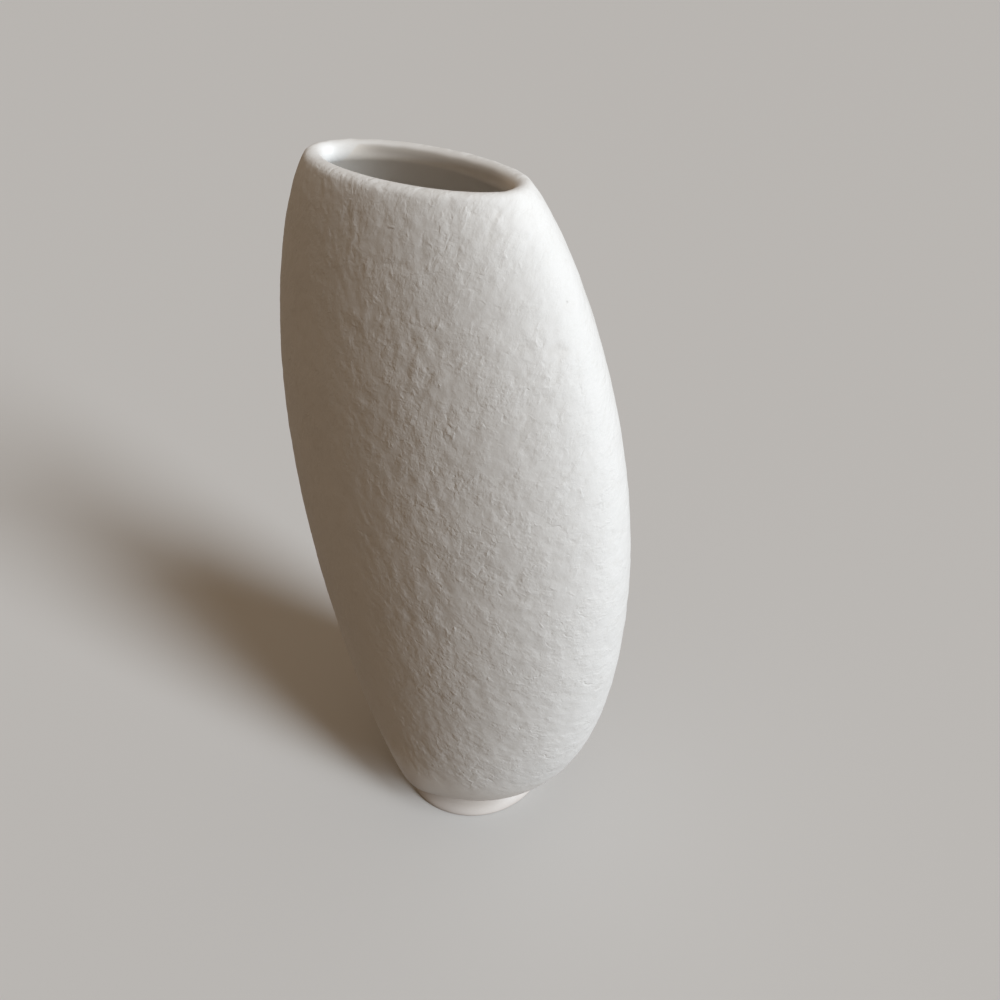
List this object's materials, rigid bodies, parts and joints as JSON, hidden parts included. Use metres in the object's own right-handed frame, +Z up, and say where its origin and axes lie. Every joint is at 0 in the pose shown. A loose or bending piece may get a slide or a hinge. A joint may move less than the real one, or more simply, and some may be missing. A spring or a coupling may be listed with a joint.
{
  "type": "bud vase",
  "caption": "Upright flattened bud vase: an oval body with a finely wrinkled matte surface, a narrow mouth with a thick smooth lip, and a small round foot that it stands on.",
  "frame": {"origin": "middle of the foot's underside, on the plane that the vase stands on", "axes": "+Z up through the mouth; X along the long way of the oval body and mouth; Y through its two broad faces"},
  "size_m": [0.11, 0.055, 0.19],
  "materials": {
    "foot_white": "smooth, satin",
    "stoneware": "bare fired clay",
    "lip_white": "smooth, satin",
    "matte_white_glaze": "matte, finely wrinkled",
    "inner_beige_glaze": "smooth, satin"
  },
  "bodies": {
    "root": {"foot_ring": "foot_white", "floor_disc": "stoneware", "body_wall": "stoneware", "rim_lip": "lip_white", "outer_glaze": "matte_white_glaze", "inner_glaze": "inner_beige_glaze"}
  },
  "joints": []
}
